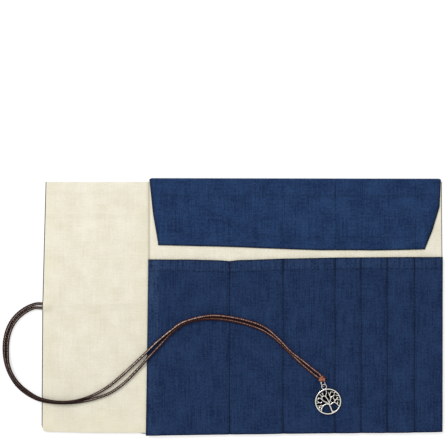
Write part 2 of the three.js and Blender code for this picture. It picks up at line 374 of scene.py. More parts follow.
def plaited(at, sides, radius, twist=0.0):
    """The radius of a round plait: rows of small humps that cross in both directions."""
    turn = turns(sides)[None] + twist
    run = math.pi * np.asarray(at)[:, None] / PLAIT
    humps = np.abs(np.sin(2 * turn + run) * np.sin(2 * turn - run)) ** 0.6
    return radius * (0.88 + 0.18 * humps)


def resting_height(x, y):
    """How much higher the cloth stands here than the flat layers of the frame do."""
    on_case = step(-158, -154, x)
    lining = lining_over(x, y) - cord_bump(x, y) - LINING_FRAME_TOP
    pocket = pocket_over(x, y) - POCKET_FRAME_TOP
    cloth_height = lining + (pocket - lining) * step(-78, -71, x)
    return cloth_height * on_case - 0.40


def strand_line(route, side):
    """A strand's line from inside the edge to inside the knot, raised to lie on the cloth. side is
    1 for the outer strand and -1 for the inner one."""
    exit_x, exit_y = route[0][:2]
    sewn_in = [(exit_x + SEWN_IN, side * 1.3, 1.42), (exit_x + SEWN_IN / 2, side * 1.45, 1.46)]
    in_knot = (61.0 + 0.3 * side, -55.4 - 0.8 * side, 4.3)
    line, _ = evenly(curve_through([*sewn_in, *route, in_knot]), ROUGH_STEP)
    x, y = line[:, 0], line[:, 1]
    lift = resting_height(x, y)
    lift = np.where(x > exit_x - 1, np.maximum(lift, -0.4), lift)
    # The cord is stiffer than the cloth's relief: it rests on the high places and bridges the low ones.
    wide = np.max([np.roll(lift, k) for k in range(-7, 8)], axis=0)
    wide[:8], wide[-8:] = lift[:8], lift[-8:]
    soft = np.convolve(np.pad(wide, 9, mode="edge"), np.ones(19) / 19, mode="valid")
    near_case = step(1.0, 9.0, np.hypot(x - exit_x, y - exit_y))
    to_knot = 1 - step(340, 351, np.arange(len(line)) * ROUGH_STEP)
    line[:, 2] += soft * near_case * to_knot
    return evenly(line, CORD_STEP)


# ---------------------------------------------------------------- materials
def linear(red, green, blue):
    """A display colour from 0 to 255 as the shader's linear colour."""
    parts = [c / 255 for c in (red, green, blue)]
    return (*[c / 12.92 if c <= 0.04045 else ((c + 0.055) / 1.055) ** 2.4 for c in parts], 1)


class Value:
    """What a node gives out. It can be used in sums, such as 1 - value * 0.5."""

    def __init__(self, graph, socket):
        self.graph, self.socket = graph, socket

    def __add__(self, other):
        return self.graph.math("ADD", self, other)

    def __sub__(self, other):
        return self.graph.math("SUBTRACT", self, other)

    def __rsub__(self, other):
        return self.graph.math("SUBTRACT", other, self)

    def __mul__(self, other):
        return self.graph.math("MULTIPLY", self, other)

    def __truediv__(self, other):
        return self.graph.math("DIVIDE", self, other)


class Graph:
    """A new material, with short names for building its nodes. sockets are the shader's constants."""

    def __init__(self, name, **sockets):
        self.material = bpy.data.materials.new(name)
        self.material.use_nodes = True
        self.nodes, self.links = self.material.node_tree.nodes, self.material.node_tree.links
        self.shader = self.nodes["Principled BSDF"]
        for socket, value in sockets.items():
            self.shader.inputs[socket.replace("_", " ")].default_value = value

    def put(self, socket, value):
        if isinstance(value, Value):
            self.links.new(value.socket, socket)
        elif value is not None:
            socket.default_value = value

    def feed(self, socket, value):
        self.put(self.shader.inputs[socket], value)

    def made(self, kind, output, inputs, **settings):
        """An output of a new node, which has these inputs and settings."""
        node = self.nodes.new(f"ShaderNode{kind}")
        for setting, value in settings.items():
            setattr(node, setting, value)
        for socket, value in inputs.items():
            self.put(node.inputs[socket], value)
        return Value(self, node.outputs[output])

    def math(self, operation, a, b=None):
        return self.made("Math", 0, {0: a, 1: b}, operation=operation)

    def clamped(self, value):
        """A sum kept from 0 to 1."""
        value.socket.node.use_clamp = True
        return value

    def sine(self, value):
        return self.math("SINE", value)

    def uv(self):
        across = self.made("SeparateXYZ", 0, {0: self.made("UVMap", 0, {}, uv_map="UVMap")})
        return across, Value(self, across.socket.node.outputs[1])

    def field(self, name):
        """One of the numbers that the mesh holds for every point."""
        return self.made("Attribute", "Fac", {}, attribute_name=name)

    def join(self, x, y):
        return self.made("CombineXYZ", 0, {0: x, 1: y})

    def noise(self, place, scale=1.0, detail=2.0, roughness=0.5):
        inputs = {"Vector": place, "Scale": scale, "Detail": detail, "Roughness": roughness}
        return self.made("TexNoise", "Fac", inputs)

    def ramp(self, value, low, high):
        inputs = {"Value": value, "From Min": low, "From Max": high}
        return self.made("MapRange", "Result", inputs, interpolation_type="SMOOTHSTEP")

    def mix(self, share, a, b, blend="MIX"):
        return self.made("Mix", 2, {"Factor": share, 6: a, 7: b}, data_type="RGBA", blend_type=blend)

    def bump(self, height, strength, distance):
        return self.made("Bump", 0, {"Strength": strength, "Distance": distance, "Height": height})


def cloth_place(graph):
    """Place on the cloth in millimetres, slightly wavy, as woven yarns are: (x, y, joined)."""
    u, v = graph.uv()
    x, y = u * 100.0, v * 100.0
    drift = (graph.noise(graph.join(x * 0.12, y * 0.12), 1.0, 1.0) - 0.5) * 0.9
    return x + drift, y + drift, graph.join(x, y)


def woven(graph, x, y, yarn):
    """Height of a plain weave: yarns in both directions, each over and under by turns."""
    crossing = graph.sine(x * (math.pi / yarn)) * graph.sine(y * (math.pi / yarn))
    return crossing * 0.5 + 0.5, crossing


def streaks(graph, x, y, width, length):
    """Thicker and thinner yarns: narrow noise that runs a long way along one direction."""
    return graph.noise(graph.join(x / width, y / length), 1.0, 2.5, 0.6)


def cloth(name, dark, light, shadow, tint, yarn, shares, bump):
    """Cotton in one colour, with thicker and thinner yarns, mottling and a woven surface.
    shadow is its colour in seams and round edges, and tint the one that it has faded to.
    shares are how much the warp, the weft, large patches and fine grain change the colour."""
    graph = Graph(name, Roughness=0.92, Sheen_Weight=0.03, Sheen_Roughness=0.5, Specular_IOR_Level=0.12)
    x, y, place = cloth_place(graph)
    height, _ = woven(graph, x, y, yarn)
    warp, weft = streaks(graph, x, y, 0.95, 24), streaks(graph, y, x, 0.9, 15)
    patches = graph.noise(place, 0.07, 4.0, 0.6)
    grain = graph.noise(place, 0.62, 3.0, 0.75)
    level = 0.5
    for part, share in zip((warp, weft, patches, grain), shares):
        level = (part - 0.5) * share + level
    colour = graph.mix(graph.ramp(level, 0.12, 0.88), linear(*dark), linear(*light))
    # Painted shade: the weave's valleys are darkened.
    painted_valley_shade = (1.0 - height) * 0.16
    colour = graph.mix(painted_valley_shade, colour, graph.mix(1.0, colour, colour, "MULTIPLY"))
    faded = graph.field("pale") * graph.ramp(warp + grain, 0.8, 1.2)
    colour = graph.mix(faded, colour, linear(*tint))
    # Painted shade: the shade field, and the edge field on the rounded rims, darken the colour towards its
    # shadow colour.
    painted_shade = graph.clamped(graph.field("shade") + graph.field("edge") * 0.75)
    graph.feed("Base Color", graph.mix(painted_shade, colour, linear(*shadow)))
    graph.feed("Roughness", warp * 0.12 + 0.84)
    graph.feed("Normal", graph.bump(height + warp * 0.9 + weft * 0.6, bump, 0.00016))
    return graph.material


def check_cloth(name):
    """Navy cotton with a small white check, dyed in the yarn."""
    graph = Graph(name, Roughness=0.9, Sheen_Weight=0.15, Sheen_Roughness=0.6, Specular_IOR_Level=0.25)
    x, y, place = cloth_place(graph)
    height, crossing = woven(graph, x, y, 0.62)

    def band(value, pitch, width):
        away = graph.math("ABSOLUTE", graph.math("FRACT", value / pitch) - 0.5)
        return 1.0 - graph.ramp(away, width / pitch / 2 - 0.03, width / pitch / 2 + 0.03)

    warp_up = graph.ramp(crossing, -0.25, 0.25)
    warp_white = band(x, 5.2, 1.8) * (warp_up * 0.5 + 0.42)
    weft_white = band(y, 4.7, 1.6) * (0.62 - warp_up * 0.42)
    yarns = streaks(graph, x, y, 0.9, 12)
    navy = graph.mix(graph.ramp(yarns, 0.35, 0.65), linear(30, 38, 72), linear(52, 62, 104))
    mottle = graph.ramp(graph.noise(place, 0.8, 2.0), 0.3, 0.7)
    pale = graph.mix(mottle, linear(186, 196, 216), linear(226, 230, 238))
    checks = graph.mix(graph.clamped(warp_white + weft_white), navy, pale)
    # The shade field paints the turned-in edges near-black: navy yarn, and painted shade under the lining.
    graph.feed("Base Color", graph.mix(graph.field("shade"), checks, linear(12, 16, 34)))
    graph.feed("Normal", graph.bump(height + yarns * 0.8, 0.5, 0.00018))
    return graph.material


def cord_material(name, hollow_shade, dark, warm, painted_glint):
    """Waxed cord: nearly black in the plait's hollows as painted shade, dark or warm brown on its humps as
    the tone field says, and a pale painted glint where the shine field is high."""
    graph = Graph(name, Specular_IOR_Level=0.08)
    u, v = graph.uv()
    run, turn = u * (10 * math.pi / PLAIT), v * (4 * math.pi)
    hump = graph.math("ABSOLUTE", graph.sine(turn + run) * graph.sine(turn - run))
    wax = graph.noise(graph.join(u * 10.0, v * 4.0), 0.9, 3.0)
    fibres = graph.noise(graph.join(u * 12.0, v * 90.0), 1.0, 2.0)
    brown = graph.mix(graph.field("tone"), linear(*dark), linear(*warm))
    colour = graph.mix(graph.ramp(hump, 0.08, 0.85), linear(*hollow_shade), brown)
    patchy = graph.clamped(graph.ramp(wax, 0.4, 0.62) + hump * 0.5)
    # Painted highlight: the glint colour is laid where the shine field is high, in patches of wax and on the
    # humps.
    graph.feed("Base Color", graph.mix(graph.field("shine") * patchy, colour, linear(*painted_glint)))
    graph.feed("Roughness", wax * 0.3 + 0.28)
    graph.feed("Normal", graph.bump(hump * 0.8 + fibres * 0.5, 0.6, 0.00012))
    return graph.material


def silver_material(name):
    """Aged silver: bright on top, blackened where the height field is low. The dark is partly patina and
    partly painted shade, and the bright tops partly wear and partly painted light.
    """
    graph = Graph(name, Metallic=1.0)
    place = graph.made("TexCoord", "Object", {})
    stain = graph.noise(place, 1400.0, 3.0, 0.6)
    worn_and_lit = graph.ramp(graph.field("height") + (stain - 0.5) * 0.35, 0.3, 0.7)
    graph.feed("Base Color", graph.mix(worn_and_lit, linear(5, 5, 6), linear(250, 247, 240)))
    graph.feed("Roughness", 0.58 - worn_and_lit * 0.28)
    graph.feed("Normal", graph.bump(graph.noise(place, 5200.0, 2.0, 0.5), 0.25, 0.00005))
    return graph.material


def thread_material(name, dark, light):
    """Twisted sewing thread, darker in the grooves of its twist as painted shade."""
    graph = Graph(name, Roughness=0.7, Specular_IOR_Level=0.12)
    u, v = graph.uv()
    twist = graph.sine((u + v * 0.04) * 220.0)
    graph.feed("Base Color", graph.mix(graph.ramp(twist, -0.8, 0.8), linear(*dark), linear(*light)))
    graph.feed("Normal", graph.bump(twist, 0.4, 0.00005))
    return graph.material


CHECK = check_cloth("check_cotton")
CREAM = cloth(
    "cream_cotton", dark=(226, 220, 199), light=(242, 238, 222), shadow=(172, 164, 140), tint=(233, 225, 192),
    yarn=0.55, shares=(0.5, 0.45, 0.9, 0.7), bump=0.28,
)
NAVY_FLAP = cloth(
    "navy_cotton_flap", dark=(18, 38, 74), light=(42, 69, 110), shadow=(4, 8, 20), tint=(52, 78, 116),
    yarn=0.6, shares=(0.7, 0.5, 0.7, 1.1), bump=0.45,
)
NAVY_POCKET = cloth(
    "navy_cotton_pocket", dark=(15, 32, 66), light=(40, 63, 101), shadow=(4, 8, 20), tint=(54, 74, 106),
    yarn=0.6, shares=(0.8, 0.4, 0.6, 1.1), bump=0.45,
)
# Each cord's colours: painted shade in the hollows, dark and warm brown, and the painted glint.
CORD = cord_material("waxed_cord", (2, 1, 1), (36, 17, 12), (88, 38, 28), (236, 208, 196))
KNOT_CORD = cord_material("waxed_cord_knot", (22, 7, 4), (120, 56, 38), (170, 84, 58), (240, 176, 148))
SILVER = silver_material("aged_silver")
NAVY_THREAD = thread_material("navy_thread", (8, 15, 34), (20, 34, 64))

# ---------------------------------------------------------------- the two strands
outer_line, outer_at = strand_line(OUTER_STRAND, 1)
inner_line, inner_at = strand_line(INNER_STRAND, -1)
# In the loop on the table, to the left of and above here, the two strands lie against each other.
LOOP_X, LOOP_Y = -158, -44
STRAND_SPACING = 2.58
for n, (x, y) in enumerate(inner_line[:, :2]):
    if x < LOOP_X and y > LOOP_Y:
        gaps = outer_line[:, :2] - (x, y)
        apart = np.hypot(*gaps.T)
        nearest = int(np.argmin(apart))
        in_loop = step(LOOP_X, LOOP_X - 5, x) * step(LOOP_Y, LOOP_Y + 7, y)
        share = in_loop * max(0.0, 1 - STRAND_SPACING / apart[nearest])
        inner_line[n, :2] += gaps[nearest] * share


# How wide the flat plait is, and where along it the share of its crest that carries a painted glint is given.
WIDTH_AT = (0, 20, 60, 95, 120, 150, 200, 260, 345)
WIDTHS = (1.2, 1.28, 1.28, 1.22, 1.08, 1.04, 1.06, 1.14, 1.14)
GLINT_AT = (0, 40, 62, 84, 135, 150, 205, 228, 262, 300, 357)


def strand(name, line, at, twist, painted_glint):
    """A slightly flat plait: wider than it is high, most of all in the loop."""
    sewn = 0.62 + 0.38 * step(0.0, SEWN_IN, at)
    width = np.interp(at, WIDTH_AT, WIDTHS)[:, None]
    turn = turns(CORD_SIDES)[None]
    oval = 1 / np.sqrt((np.cos(turn) / width) ** 2 + (np.sin(turn) * width) ** 2)
    radius = plaited(at, CORD_SIDES, CORD_RADIUS, twist) * sewn[:, None] * oval
    painted_glint = np.interp(at, GLINT_AT, painted_glint)
    # Painted highlight: a pale glint along each strand's crest, as much of it as the profile gives.
    crest = step(0.9, 1.0, np.sin(turn + 0.2))
    shine = (painted_glint[:, None] * crest).ravel()
    tone = np.repeat(0.25 + 0.75 * step(195, 235, at), CORD_SIDES)
    return tube(name, line, radius, CORD, at=at, shine=np.r_[shine, 0, 0], tone=np.r_[tone, 1, 1])


outer_cord = strand("cord_strand_outer", outer_line, outer_at, 0.0,
                    (0.35, 0.5, 0.35, 0.1, 0.05, 0.6, 0.6, 0.2, 0.1, 0.4, 0.5))
inner_cord = strand("cord_strand_inner", inner_line, inner_at, 0.5,
                    (0.35, 0.5, 0.35, 0.1, 0.05, 0.8, 1.0, 0.9, 0.5, 0.5, 0.6))


# ---------------------------------------------------------------- knot, ring and charm
def circle(radius, count, y=0.0):
    """Points round a flat circle about (0, y)."""
    t = turns(count)
    return np.stack([radius * np.cos(t), radius * np.sin(t) + y, 0 * t], axis=1)


def merge(name, parts):
    """One object from several."""
    for o in bpy.context.selected_objects:
        o.select_set(False)
    for o in parts:
        o.select_set(True)
    bpy.context.view_layer.objects.active = parts[0]
    bpy.ops.object.join()
    parts[0].name = parts[0].data.name = name
    return parts[0]


def make_knot():
    """An overhand knot: a closed three-lobed line, with the cut end of the cord beside it."""
    t = turns(150)
    across, along = (np.sin(t) + 2 * np.sin(2 * t)) * 0.60, (np.cos(t) - 2 * np.cos(2 * t)) * 0.62
    lobes = np.stack([across, along, -np.sin(3 * t) * 1.02], axis=1)
    turned = Matrix.Rotation(HEADING + 0.5, 3, "Z")
    lobes = lobes @ np.array(turned).T + np.array(KNOT_CENTRE)
    at = np.cumsum(np.linalg.norm(np.diff(lobes, axis=0, prepend=lobes[-1:]), axis=1))
    knot = tube("knot_lobes", lobes, plaited(at, 16, 0.98), KNOT_CORD, 16, closed=True)
    x, y, z = KNOT_CENTRE
    route = [(x - 0.4, y + 0.2, z), (x + 1.6, y + 0.5, z - 0.3), (x + 3.1, y + 0.5, z - 0.9)]
    tail, tail_at = evenly(curve_through(route), 0.3)
    end = 1 - 0.35 * step(tail_at[-1] - 0.5, tail_at[-1], tail_at)
    stub = tube("knot_tail", tail, plaited(tail_at, 14, 0.95) * end[:, None], KNOT_CORD, 14, at=tail_at)
    made = merge("knot", [knot, stub])
    height = np.array([v.co.z for v in made.data.vertices]) / MM
    # Painted light: the knot's upper parts are a warmer, brighter brown, with a painted highlight on top.
    top = step(z - 0.6, z + 1.8, height)
    add_field(made.data, "shine", 0.45 * top**3)
    add_field(made.data, "tone", top)
    return made


def along_charm_line(distance, z):
    """A place on the line from the knot's middle to the charm's."""
    x, y, _ = KNOT_CENTRE
    return Vector((x + distance * math.sin(HEADING), y - distance * math.cos(HEADING), z))


def make_jump_ring():
    ring = tube("split_ring", circle(RING_RADIUS, 96), RING_WIRE, SILVER, 14, closed=True)
    place = Matrix.Translation(along_charm_line(RING_DISTANCE, EYE_HEIGHT) * MM)
    ring.data.transform(place @ Matrix.Rotation(HEADING, 4, "Z") @ Matrix.Rotation(RING_LEAN, 4, "Y"))
    add_field(ring.data, "height", np.full(len(ring.data.vertices), 0.75))
    return ring


# The charm's tree, drawn with +Y up towards the eye: points, and the width at each end.
TREE = (
    (((1.6, -9.2), (0.9, -7.6), (0.75, -5.4), (0.45, -3.6), (0.1, -2.0)), 1.35, 0.95),
    (((1.0, -8.0), (1.9, -8.6), (3.4, -8.8)), 0.9, 0.6),
    (
        ((0.1, -2.3), (-1.2, -1.7), (-2.8, -1.7), (-4.6, -2.4), (-5.9, -3.6), (-6.5, -5.0), (-7.2, -6.2)),
        0.85, 0.65,
    ),
    (((0.3, -2.7), (1.9, -2.5), (3.2, -1.9), (4.7, -2.0), (5.9, -3.2), (6.6, -4.6), (7.3, -6.0)), 0.85, 0.65),
    (((0.1, -2.0), (-1.6, -0.2), (-3.4, 1.4), (-4.3, 3.0), (-5.4, 4.2), (-6.6, 4.7)), 0.9, 0.6),
    (((-4.2, 2.8), (-3.7, 4.6), (-4.0, 6.0), (-4.6, 6.9)), 0.7, 0.55),
    (((0.3, -0.6), (0.2, 1.4), (-0.4, 3.0), (-1.1, 4.5), (-2.4, 5.3), (-2.5, 7.4)), 0.85, 0.6),
    (((-2.2, 5.2), (-3.3, 4.7), (-3.9, 4.9)), 0.55, 0.5),
    (((-0.9, 4.0), (-0.2, 5.6), (0.7, 7.0), (0.7, 9.0)), 0.7, 0.6),
    (((0.1, -2.0), (1.0, -0.7), (2.1, 0.8), (2.8, 2.4), (2.4, 4.2), (2.3, 6.4)), 0.95, 0.6),
    (((2.4, 4.6), (3.3, 5.5), (4.1, 6.6), (5.3, 6.2)), 0.6, 0.5),
    (((2.8, 2.4), (4.2, 3.0), (5.6, 3.1)), 0.75, 0.6),
    (((5.2, 3.1), (6.1, 4.2), (6.4, 5.2), (7.4, 5.4)), 0.55, 0.45),
    (((4.6, -1.9), (5.1, -0.8), (4.9, 0.6), (4.6, 1.7)), 0.75, 0.55),
    (((5.2, -0.7), (6.4, -0.2), (7.2, 0.4), (8.1, 0.9)), 0.65, 0.5),
    (((6.8, 0.0), (7.6, -0.7), (9.0, -1.2)), 0.55, 0.5),
    (((7.1, 3.5), (7.7, 2.5), (8.9, 2.6)), 0.6, 0.5),
    (((6.3, -3.8), (6.9, -3.1), (7.0, -2.4)), 0.55, 0.5),
    (((-5.5, -3.0), (-6.8, -2.6), (-8.2, -3.0), (-8.9, -2.6)), 0.6, 0.5),
    (((-6.1, -4.2), (-7.6, -4.2), (-8.6, -3.6)), 0.5, 0.45),
    (((-4.6, 1.2), (-5.6, 0.6), (-6.2, 0.4)), 0.65, 0.55),
    (((-6.0, 0.4), (-7.2, 1.5), (-7.8, 2.6), (-8.7, 2.9)), 0.55, 0.5),
    (((-7.0, 1.3), (-8.2, 0.9), (-9.1, 1.2)), 0.5, 0.45),
    (((-4.8, -1.9), (-5.8, -1.5), (-7.0, -1.6), (-8.9, -1.2)), 0.6, 0.5),
    (((-5.6, 4.4), (-7.0, 3.9), (-8.4, 4.4)), 0.5, 0.45),
)
CHARM_RADIUS, CHARM_RIM, CHARM_TOP = 10.2, 1.0, 0.48
EYE_RADIUS, EYE_WIRE = 1.9, 0.38
LIMB_SHARE = 0.56
TRUNK_LIMBS, TRUNK_FOOT, BRANCH_FOOT = 4, 0.5, 1.15


def oval(half_width, half_height, sides):
    """The radius of an oval section, one row for each half_width."""
    turn = turns(sides)
    return half_width / np.sqrt(np.cos(turn) ** 2 + (np.sin(turn) * half_width / half_height) ** 2)


def limb_parts(number, points, wide, narrow):
    """A rounded ridge on a foot that is wider and lower, and a bud where it ends in the open. The foot is
    dark metal that fills the gaps between the limbs: partly patina, partly painted shade.
    """
    line, at = evenly(curve_through([(x, y, 0.0) for x, y in points], 10), 0.25)
    radius = (wide + (narrow - wide) * at / at[-1]) * LIMB_SHARE
    ridge = line + np.stack([0 * radius, 0 * radius, CHARM_TOP - radius], axis=1)
    foot = radius[:, None] + (TRUNK_FOOT if number < TRUNK_LIMBS else BRANCH_FOOT)
    parts = [
        tube(f"limb_{number}", ridge, radius[:, None], SILVER, 10, at=at),
        tube(f"foot_{number}", line - [0, 0, 0.18], oval(foot, 0.3, 10), SILVER, 10, at=at),
    ]
    if np.hypot(*line[-1, :2]) < CHARM_RADIUS - CHARM_RIM / 2 - 0.9:
        bud = line[-1] + [(across, 0, 0.08) for across in (-0.45, -0.28, 0, 0.28, 0.45)]
        bud_radius = np.array([0.08, 0.34, 0.42, 0.34, 0.08])[:, None]
        parts.append(tube(f"bud_{number}", bud, bud_radius, SILVER, 10))
    return parts


def make_charm():
    rim = circle(CHARM_RADIUS - CHARM_RIM / 2, 160)
    turn = turns(16)
    # A rounded square section, flatter on top than a round wire, on a wider and lower foot that is dark:
    # partly patina, partly painted shade.
    section = CHARM_TOP / (np.abs(np.cos(turn)) ** 3 + np.abs(np.sin(turn)) ** 3) ** (1 / 3)
    foot = oval(0.8, 0.288, 16)
    eye = circle(EYE_RADIUS, 160, EYE_DISTANCE)
    parts = [
        tube("charm_rim", rim, section[None], SILVER, 16, closed=True),
        tube("charm_rim_foot", rim - [0, 0, 0.2], foot[None], SILVER, 16, closed=True),
        tube("charm_eye", eye, EYE_WIRE, SILVER, 14, closed=True),
    ]
    for number, limb in enumerate(TREE):
        parts += limb_parts(number, *limb)
    charm = merge("tree_charm", parts)
    remesh = charm.modifiers.new("one_body", "REMESH")
    remesh.mode, remesh.voxel_size, remesh.use_smooth_shade = "VOXEL", 0.11 * MM, True
    smooth = charm.modifiers.new("cast", "SMOOTH")
    smooth.factor, smooth.iterations = 0.5, 2
    bpy.context.view_layer.update()
    made = bpy.data.meshes.new_from_object(charm.evaluated_get(bpy.context.evaluated_depsgraph_get()))
    charm.modifiers.clear()
    charm.data = made
    made.materials.clear()
    made.materials.append(SILVER)
    z = np.array([vertex.co.z for vertex in made.vertices]) / MM
    up = np.array([vertex.normal.z for vertex in made.vertices])
    # The silver's height field is 0 in the recesses and 1 on the raised parts. Only parts that face up count
    # as raised, so the sides and the low feet are dark: partly patina, partly painted shade.
    front = step(0.2, 0.4, z) * step(0.1, 0.6, up)
    back = 0.6 * step(0.3, 0.42, -z) * step(0.5, 0.9, -up)
    add_field(made, "height", np.maximum(front, back))
    drop = EYE_DISTANCE * math.sin(CHARM_TILT)
    place = Matrix.Translation(Vector((*CHARM_CENTRE, EYE_HEIGHT - drop)) * MM)
    made.transform(place @ Matrix.Rotation(HEADING, 4, "Z") @ Matrix.Rotation(CHARM_TILT, 4, "X"))
    return charm


knot = make_knot()
jump_ring = make_jump_ring()
charm = make_charm()

for piece, carried_by, node, slot in (
    (outer_cord, "tie_cord", "tie_cord_outer", "waxed_cord"),
    (inner_cord, "tie_cord", "tie_cord_inner", "waxed_cord"),
    (knot, "tie_cord", "cord_knot", "waxed_cord"),
    (jump_ring, "jump_ring", "jump_ring", "aged_silver"),
    (charm, "charm", "charm", "aged_silver"),
):
    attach(piece, carried_by)
    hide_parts(node)
(inner_line * MM).tolist()


# ---------------------------------------------------------------- cloth pieces
CORNER_Y, CORNER_RADIUS = -99.0, 4.5


def case_left(y):
    """The plain end's edge, with its lower corner rounded."""
    edge = np.interp(y, (-99, -85, 0, 97), (-156.1, -156.0, -155.5, -153.0))
    corner = np.clip(1 - (y - CORNER_Y) / CORNER_RADIUS, 0, 1)
    return edge + CORNER_RADIUS * (1 - np.sqrt(np.maximum(1 - corner**2, 0))) * 0.8


case_right = edge_through((-99, 155.5), (40, 155.7), (97, 155.3))
lining_bottom = edge_through((-156, -97.5), (-146, -98.1), (-120, -98.8), (-75, -98.8), (156, -97.0))
cover_bottom = edge_through(
    (-156, -97.5), (-146, -98.0), (-120, -98.7), (-80, -98.8), (-72, -100.4), (-10, -99.7), (32, -99.1),
    (122, -98.4), (156, -97.8),
)
pocket_left = edge_through((-100, -74.9), (37, -73.0))
pocket_bottom = edge_through(
    (-75, -100.7), (-10, -99.9), (32, -99.3), (122, -98.5), (156, -97.8), stray=0.25, cell=17, seed=21,
)

# A rounded rim: how far in from the edge, and the share of the cloth's thickness there.
RIM_INSETS = np.array([0, 0.134, 0.5, 1.0])
RIM_SHARES = np.array([0, 0.5, 0.866, 1.0])


def spread_along(length, spacing, rounded_start, rounded_end, rim):
    """Places along a side, and how thick the cloth is there, with rounded rims at free edges."""
    low = RIM_INSETS * rim if rounded_start else np.array([0.0])
    high = length - RIM_INSETS[::-1] * rim if rounded_end else np.array([length])
    count = max(1, round((high[0] - low[-1]) / spacing))
    middle = np.linspace(low[-1], high[0], count + 1)[1:-1]
    places = np.concatenate([low, middle, high])
    shares = np.ones(len(places))
    if rounded_start:
        shares[:len(RIM_SHARES)] = RIM_SHARES
    if rounded_end:
        shares[-len(RIM_SHARES):] = RIM_SHARES[::-1]
    return places / length, shares


def with_extra(places, shares, extra, nearest):
    """The places along a side with some more put in. Old ones too near to those are left out."""
    extra = np.array([e for e in extra if places[0] + nearest < e < places[-1] - nearest])
    if not len(extra):
        return places, shares
    away = np.min(np.abs(places[:, None] - extra[None]), axis=1)
    keep = (away > nearest) | (shares < 1)
    keep[[0, -1]] = True
    merged = np.concatenate([places[keep], extra])
    order = np.argsort(merged)
    return merged[order], np.concatenate([shares[keep], np.ones(len(extra))])[order]


# How far on each side of a place the cloth's slope is measured.
NEAR = 0.3


def division_normals(surface, sign, x, y, level, toward):
    """The way the cloth faces along a division: as its surface does, or round the rim at the two ends.
    level is 1 on the surface and 0 at the middle of the cloth's thickness."""
    slope_x = (surface(x + NEAR, y) - surface(x - NEAR, y)) / (2 * NEAR)
    slope_y = (surface(x, y + NEAR) - surface(x, y - NEAR)) / (2 * NEAR)
    facing = np.stack([-slope_x, -slope_y, np.ones(len(x))], axis=1) * sign
    round_rim = np.stack([0 * x, toward * np.sqrt(1 - level**2), sign * level], axis=1)
    facing = np.where((level < 1)[:, None], round_rim, facing)
    return facing / np.linalg.norm(facing, axis=1)[:, None]


def make_sheet(name, material, left, right, bottom, top, under, over, free, spacing, rim,
               columns_at=(), rows_below=(), shade=None, pale=None, ease=0.0):
    """A closed sheet between under and over. free says which of left, right, bottom and top
    are the cloth's own edges, which are rounded; the others are where it is divided.
    columns_at are places across, and rows_below distances down from the top, with finer detail.
    ease draws the upper face back from the divisions at the sides, so that it can roll up."""
    start = np.array([0.0])
    first, low = left(start)[0], bottom(start)[0]
    width, height = right(start)[0] - first, top(start)[0] - low
    u, share_u = spread_along(width, spacing, free[0], free[1], rim)
    v, share_v = spread_along(height, spacing, free[2], free[3], rim)
    u, share_u = with_extra(u, share_u, [(c - first) / width for c in columns_at], 0.06 / width)
    v, share_v = with_extra(v, share_v, [1 - r / height for r in rows_below], 0.2 / height)
    nominal = low + v * height
    x_left, x_right = left(nominal), right(nominal)
    x = x_left[:, None] + u[None] * (x_right - x_left)[:, None]
    y = bottom(x) + v[:, None] * (top(x) - bottom(x))
    share = share_v[:, None] * share_u[None]
    z_over, z_under = over(x, y), under(x, y)
    middle, half = (z_over + z_under) / 2, (z_over - z_under) / 2
    rows, columns = x.shape
    top_index = np.arange(rows * columns).reshape(rows, columns)
    thick = share > 0
    bottom_index = top_index.copy()
    bottom_index[thick] = rows * columns + np.arange(int(thick.sum()))
    x_upper, x_lower = x.copy(), x.copy()
    for column, inward, cut in ((0, 1, not free[0]), (-1, -1, not free[1])):
        if cut:
            x_upper[:, column] += inward * ease
            x_lower[:, column] += inward * ease / 8
    upper = np.stack([x_upper, y, middle + half * share], axis=-1).reshape(-1, 3)
    lower = np.stack([x_lower, y, middle - half * share], axis=-1)[thick]
    points = np.vstack([upper, lower])

    def quads(index):
        corners = (index[:-1, :-1], index[:-1, 1:], index[1:, 1:], index[1:, :-1])
        return np.stack(corners, axis=-1).reshape(-1, 4)

    faces = quads(top_index).tolist() + quads(bottom_index)[:, ::-1].tolist()
    sharp = np.zeros(len(points), bool)
    normals = np.zeros((len(points), 3))
    rise = np.broadcast_to(share_v[:, None], x.shape)
    toward = np.broadcast_to(np.where(v < 0.5, -1.0, 1.0)[:, None], x.shape)
    forward, backward = slice(None), slice(None, None, -1)
    for where, own_edge in zip(((backward, 0), (forward, -1), (0, forward), (-1, backward)), free):
        if own_edge:
            continue
        above, below = top_index[where], bottom_index[where]
        for a, b, c, d in zip(above, above[1:], below[1:], below):
            corners = list(dict.fromkeys((d, c, b, a)))
            if len(corners) > 2:
                faces.append(corners)
        sharp[above] = sharp[below] = True
        # Both pieces that meet at a division shade alike there, so that it doesn't show.
        px, py, level = x[where], y[where], np.where(np.isin(above, below), 0.0, rise[where])
        for index, surface, sign in ((above, over, 1), (below, under, -1)):
            normals[index] = division_normals(surface, sign, px, py, level, toward[where])
    uv = points[:, :2] / 100
    # The edge field is 1 at the rounded rims, which the cloth materials darken as painted shade.
    fields = {"edge": np.concatenate([(1 - share).ravel(), (1 - share)[thick]])}
    for field, paint in (("shade", shade), ("pale", pale)):
        if paint:
            fields[field] = paint(points[:, 0], points[:, 1])
    return new_object(name, points, faces, material, uv=uv, normals=normals, sharp=sharp, **fields)


def middle_of(strip):
    return CASE_LEFT + STRIP_WIDTH * (strip - 0.5)


def line_at(value):
    return lambda y: np.full(np.shape(y), float(value))


def bend(piece):
    """Bakes the piece's placement into its mesh."""
    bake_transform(piece)


def moved(edge, amount):
    """The same edge, further along by the amount."""
    return lambda value: edge(value) + amount


def sides_of(k, first, last, left_end, right_end):
    """The left and right sides of cloth piece k of a row that runs from first to last."""
    left = left_end if k == first else line_at(middle_of(k))
    right = right_end if k == last else line_at(middle_of(k + 1))
    return left, right


